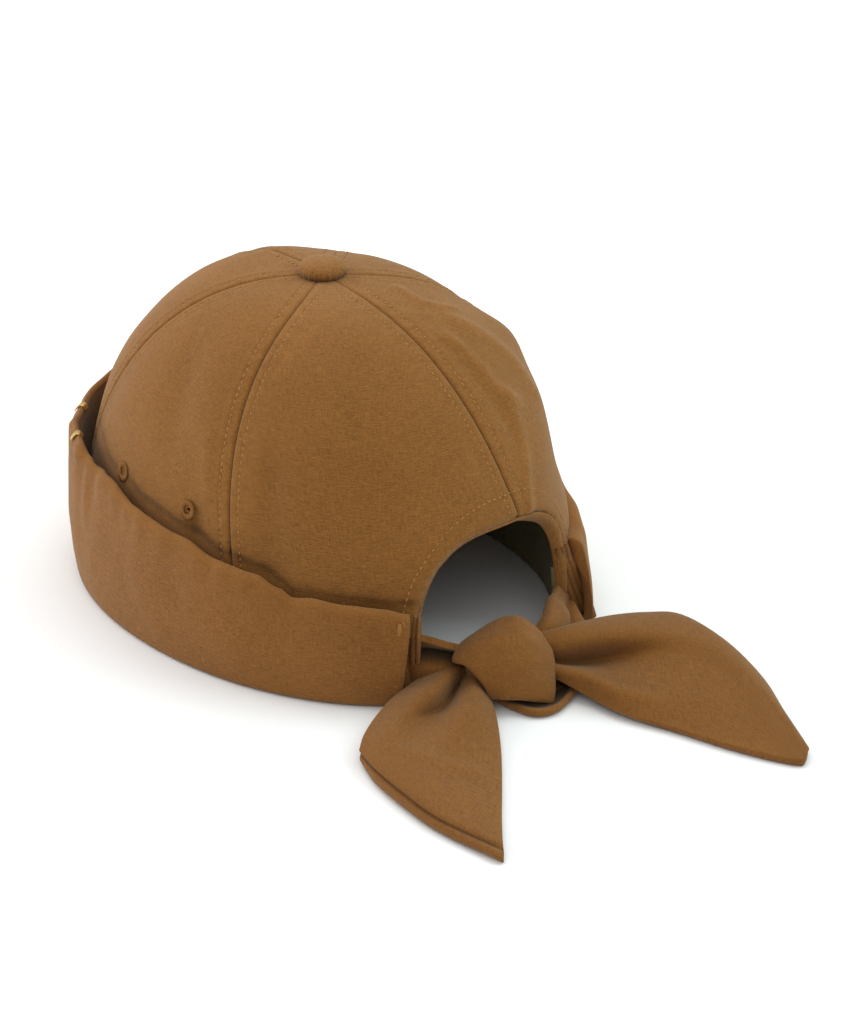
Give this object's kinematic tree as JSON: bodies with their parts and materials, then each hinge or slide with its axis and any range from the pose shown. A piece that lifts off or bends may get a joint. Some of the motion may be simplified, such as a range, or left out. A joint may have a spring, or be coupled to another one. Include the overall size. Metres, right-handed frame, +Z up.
{
  "type": "sailor cap",
  "caption": "Brimless sailor cap with a panelled crown, covered button, turned-up cuff open at the back, and a knotted cloth tie across a rear arch.",
  "frame": {"origin": "middle of the whole cap's box, on the surface that it rests on", "axes": "+Z up through the crown, -Y towards the front of the cap, +Y towards the rear arch and the tie, +X towards the wearer's left"},
  "size_m": [0.1838, 0.332, 0.1327],
  "materials": {
    "crown_cloth": "matt cotton twill, camel brown",
    "cuff_cloth": "matt cotton twill, camel brown",
    "tie_cloth": "matt cotton twill, camel brown",
    "button_cloth": "matt cotton twill, camel brown",
    "eyelet_thread": "embroidered thread",
    "sweatband_tape": "woven olive tape",
    "clip_brass": "polished"
  },
  "bodies": {
    "root": {"panel_back_left": "crown_cloth", "panel_side_left": "crown_cloth", "panel_front_left": "crown_cloth", "panel_front_right": "crown_cloth", "panel_side_right": "crown_cloth", "panel_back_right": "crown_cloth", "crown_button": "button_cloth", "cuff": "cuff_cloth", "sweatband": "sweatband_tape", "eyelet_left_1": "eyelet_thread", "eyelet_left_2": "eyelet_thread", "eyelet_right_1": "eyelet_thread", "eyelet_right_2": "eyelet_thread", "clip_1": "clip_brass", "clip_2": "clip_brass", "tie_knot": "tie_cloth", "tie_strap_left": "tie_cloth", "tie_strap_right": "tie_cloth", "tie_tail_left": "tie_cloth", "tie_tail_right": "tie_cloth", "tie_fold": "tie_cloth"}
  },
  "joints": []
}
